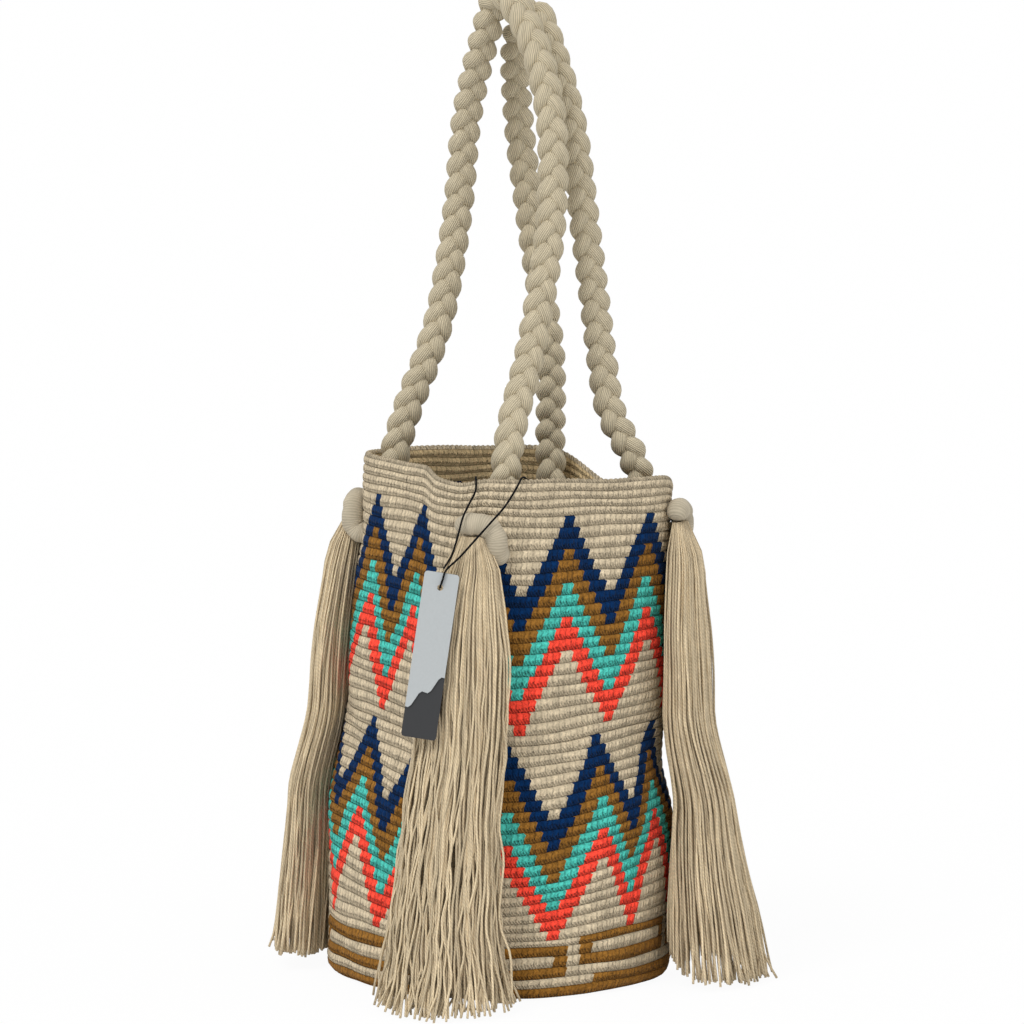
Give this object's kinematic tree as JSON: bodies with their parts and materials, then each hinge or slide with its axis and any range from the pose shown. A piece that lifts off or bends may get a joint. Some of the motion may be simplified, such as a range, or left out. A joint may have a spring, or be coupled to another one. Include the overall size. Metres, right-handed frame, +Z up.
{
  "type": "bucket tote bag",
  "caption": "Round-based crocheted bucket tote with zigzag bands, braided carrying handles, knotted corners with long yarn tassels, and a blank hang tag.",
  "frame": {"origin": "centre of the round base, on the surface that the bag stands on", "axes": "+Z up from the base to the handles, +X along the span of the handles, -Y towards the front handle"},
  "size_m": [0.257, 0.2567, 0.5776],
  "materials": {
    "crochet": "matt cotton crochet",
    "handle_yarn": "matt braided cotton cord",
    "tassel_yarn": "matt twisted cotton yarn",
    "grey_card": "smooth card",
    "black_card": "smooth card",
    "black_string": "thin waxed string"
  },
  "bodies": {
    "root": {"crochet_body": "crochet", "front_handle_strand_a": "handle_yarn", "front_handle_strand_b": "handle_yarn", "front_handle_strand_c": "handle_yarn", "rear_handle_strand_a": "handle_yarn", "rear_handle_strand_b": "handle_yarn", "rear_handle_strand_c": "handle_yarn", "knot_left": "handle_yarn", "knot_front": "handle_yarn", "knot_right": "handle_yarn", "knot_rear": "handle_yarn", "tassel_left": "tassel_yarn", "tassel_front": "tassel_yarn", "tassel_right": "tassel_yarn", "tassel_rear": "tassel_yarn", "tag_back_card": "black_card", "tag_front_card": "grey_card", "tag_string": "black_string"}
  },
  "joints": []
}
